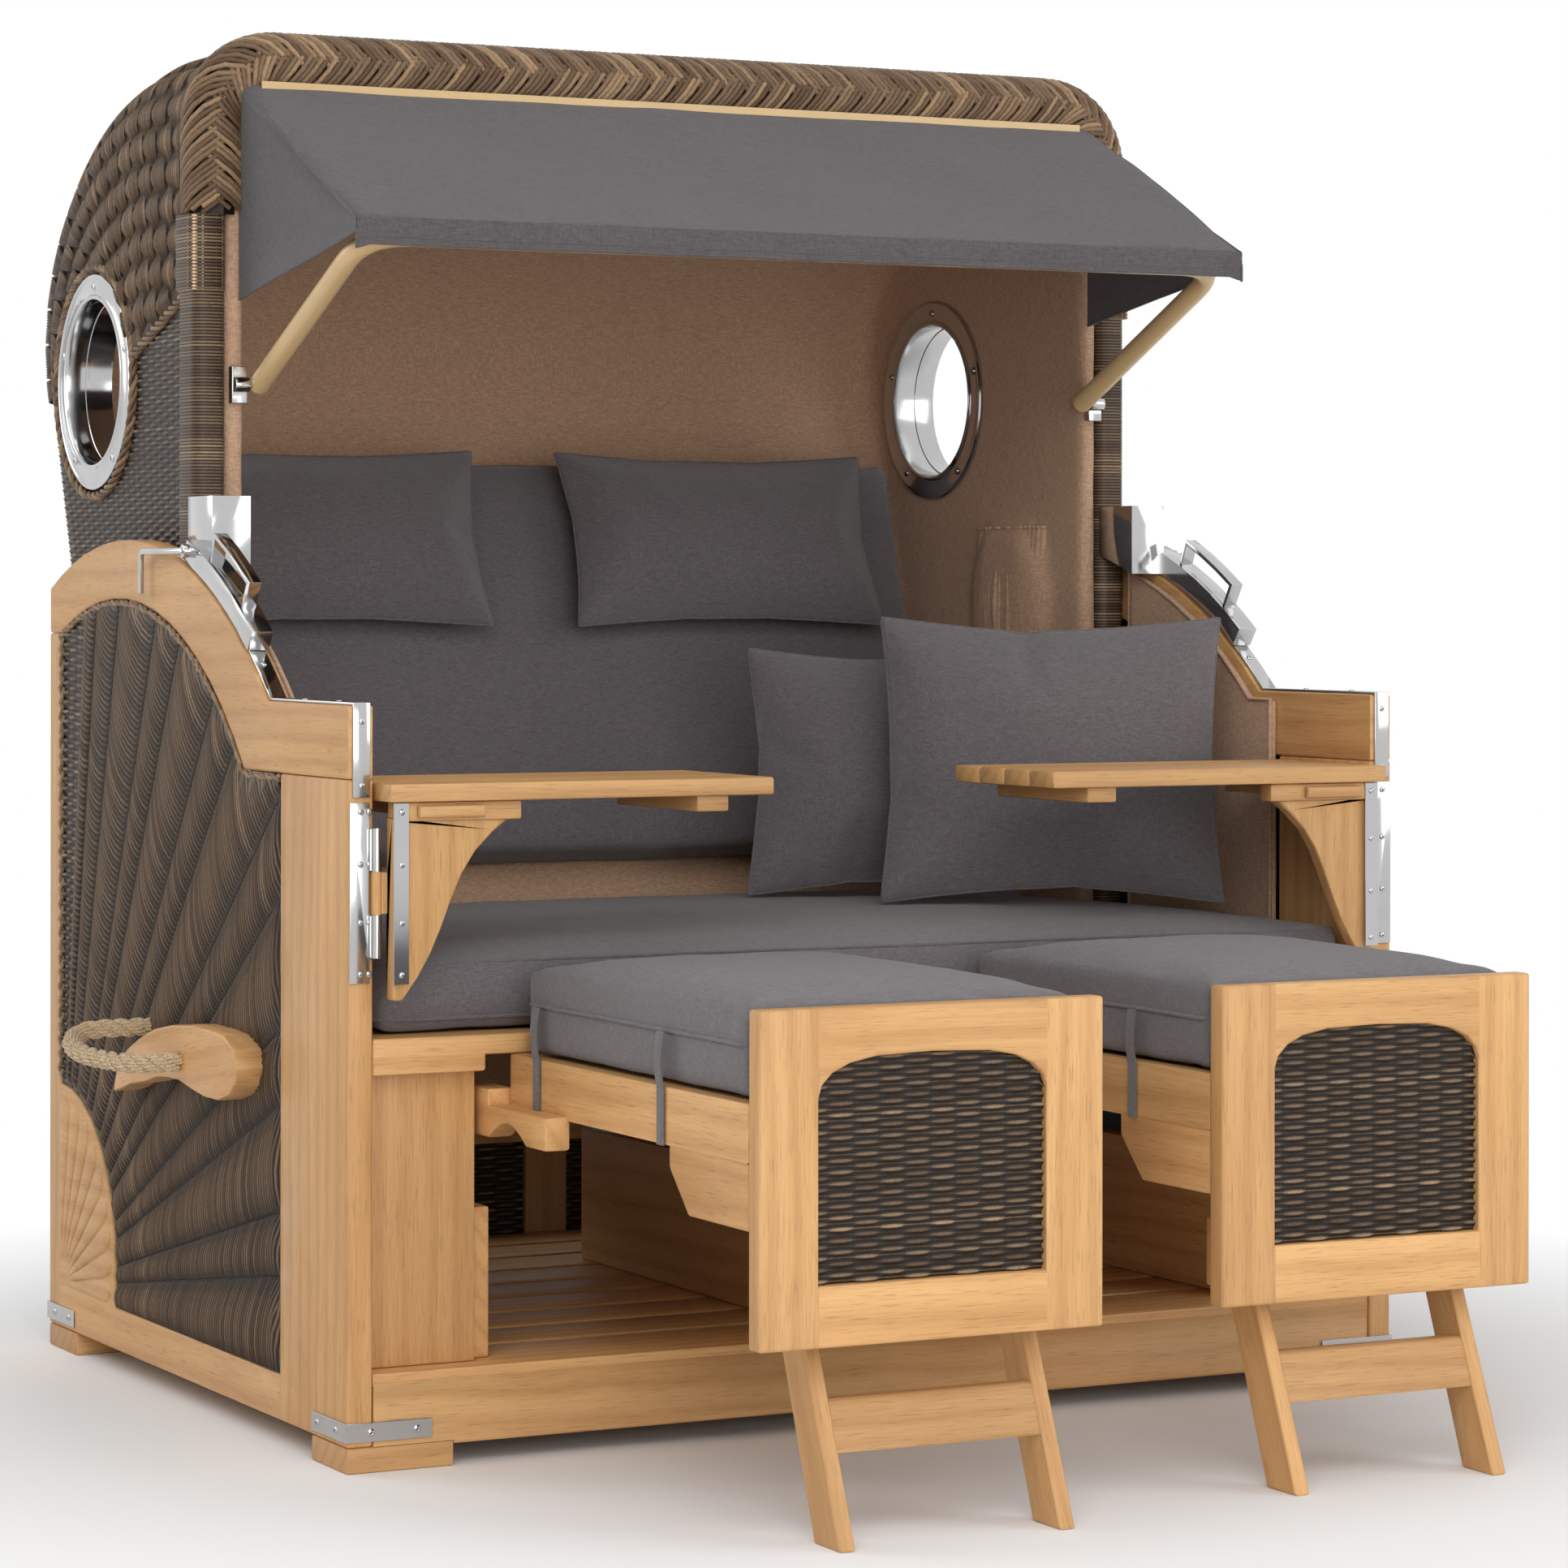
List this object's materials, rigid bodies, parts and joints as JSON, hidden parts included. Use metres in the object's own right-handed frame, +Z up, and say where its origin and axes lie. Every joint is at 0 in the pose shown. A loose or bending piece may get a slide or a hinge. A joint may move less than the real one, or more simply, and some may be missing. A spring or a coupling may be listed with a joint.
{
  "type": "hooded beach chair",
  "caption": "Hooded beach chair for two sitters: a wicker hood that reclines on a wooden box, with an awning, draw-out footrests, swing-out side tables and cushions",
  "frame": {"origin": "on the ground under the middle of the whole chair with its footrests drawn out", "axes": "+X to the right seen from the front, +Y towards the hood's back, +Z up; the sitters face -Y"},
  "size_m": [1.6014, 1.8212, 1.6229],
  "materials": {
    "teak": "oiled, open grain, satin",
    "wicker": "flat plastic wicker strands in brown, sand and grey",
    "steel": "polished stainless steel",
    "grey_fabric": "plain woven, warm grey",
    "sand_lining": "plain woven lining, light brown",
    "rope": "three-strand laid rope",
    "painted_tube": "painted in a wood tone, satin"
  },
  "bodies": {
    "base": {"side_frame_left": "teak", "side_frame_right": "teak", "arm_left": "teak", "arm_right": "teak", "side_wicker_left": "wicker", "side_wicker_right": "wicker", "arm_strip_left": "steel", "arm_strip_right": "steel", "handle_block_left": "teak", "handle_block_right": "teak", "rope_handle_left": "rope", "rope_handle_right": "rope", "front_rail": "teak", "floor_slats": "teak", "rear_frame": "teak", "rear_wicker": "wicker", "seat_frame": "teak", "seat_cushion": "grey_fabric", "arm_lining_left": "sand_lining", "arm_lining_right": "sand_lining", "hinge_leaf_left": "steel", "hinge_leaf_right": "steel", "throw_pillow_large": "grey_fabric", "throw_pillow_small": "grey_fabric"},
    "hood": {"hood_wicker": "wicker", "hood_lining": "sand_lining", "hood_post_left": "teak", "hood_post_right": "teak", "hood_border": "wicker", "hood_pivot_left": "steel", "hood_pivot_right": "steel", "porthole_left": "steel", "porthole_right": "steel", "hood_lock_left": "steel", "hood_lock_right": "steel", "awning_socket_left": "steel", "awning_socket_right": "steel", "back_cushion": "grey_fabric", "head_pillow_left": "grey_fabric", "head_pillow_right": "grey_fabric"},
    "awning": {"awning_bow": "painted_tube", "awning_cloth": "grey_fabric"},
    "lever_left": {"lock_lever_left": "steel"},
    "table_left": {"table_bracket_left": "teak", "table_top_left": "teak"},
    "latch_left": {"table_latch_left": "teak"},
    "footrest_left": {"footrest_panel_left": "teak", "footrest_wicker_left": "wicker", "footrest_frame_left": "teak", "footrest_cushion_left": "grey_fabric"},
    "legs_left": {"footrest_legs_left": "teak"},
    "lever_right": {"lock_lever_right": "steel"},
    "table_right": {"table_bracket_right": "teak", "table_top_right": "teak"},
    "latch_right": {"table_latch_right": "teak"},
    "footrest_right": {"footrest_panel_right": "teak", "footrest_wicker_right": "wicker", "footrest_frame_right": "teak", "footrest_cushion_right": "grey_fabric"},
    "legs_right": {"footrest_legs_right": "teak"}
  },
  "joints": [
    {"name": "hood_recline", "type": "hinge", "parent": "base", "child": "hood", "pos_m": [0, 0.419, 0.322], "axis": [-1, 0, 0], "range_deg": [0, 34]},
    {"name": "awning_swing", "type": "hinge", "parent": "hood", "child": "awning", "pos_m": [0, 0.2475, 1.202], "axis": [1, 0, 0], "range_deg": [-55, 30], "deforming": ["awning_cloth"]},
    {"name": "lever_turn_left", "type": "hinge", "parent": "hood", "child": "lever_left", "pos_m": [-0.691, 0.1868, 1.0029], "axis": [0, 1, 0], "range_deg": [0, 90]},
    {"name": "table_swing_left", "type": "hinge", "parent": "base", "child": "table_left", "pos_m": [-0.6495, -0.3085, 0.531], "axis": [0, 0, 1], "range_deg": [-105, 0]},
    {"name": "latch_turn_left", "type": "hinge", "parent": "table_left", "child": "latch_left", "pos_m": [-0.6058, -0.3085, 0.7172], "axis": [0, 1, 0], "range_deg": [0, 90]},
    {"name": "footrest_slide_left", "type": "slide", "parent": "base", "child": "footrest_left", "axis": [0, 1, 0], "range_m": [0, 0.45], "deforming": ["footrest_cushion_left"]},
    {"name": "legs_fold_left", "type": "hinge", "parent": "footrest_left", "child": "legs_left", "pos_m": [-0.2844, -0.785, 0.243], "axis": [1, 0, 0], "range_deg": [0, 111]},
    {"name": "lever_turn_right", "type": "hinge", "parent": "hood", "child": "lever_right", "pos_m": [0.691, 0.1868, 1.0029], "axis": [0, -1, 0], "range_deg": [0, 90]},
    {"name": "table_swing_right", "type": "hinge", "parent": "base", "child": "table_right", "pos_m": [0.6495, -0.3085, 0.531], "axis": [0, 0, 1], "range_deg": [0, 105]},
    {"name": "latch_turn_right", "type": "hinge", "parent": "table_right", "child": "latch_right", "pos_m": [0.6058, -0.3085, 0.7172], "axis": [0, -1, 0], "range_deg": [0, 90]},
    {"name": "footrest_slide_right", "type": "slide", "parent": "base", "child": "footrest_right", "axis": [0, 1, 0], "range_m": [0, 0.45], "deforming": ["footrest_cushion_right"]},
    {"name": "legs_fold_right", "type": "hinge", "parent": "footrest_right", "child": "legs_right", "pos_m": [0.2844, -0.742, 0.243], "axis": [1, 0, 0], "range_deg": [0, 111]}
  ]
}
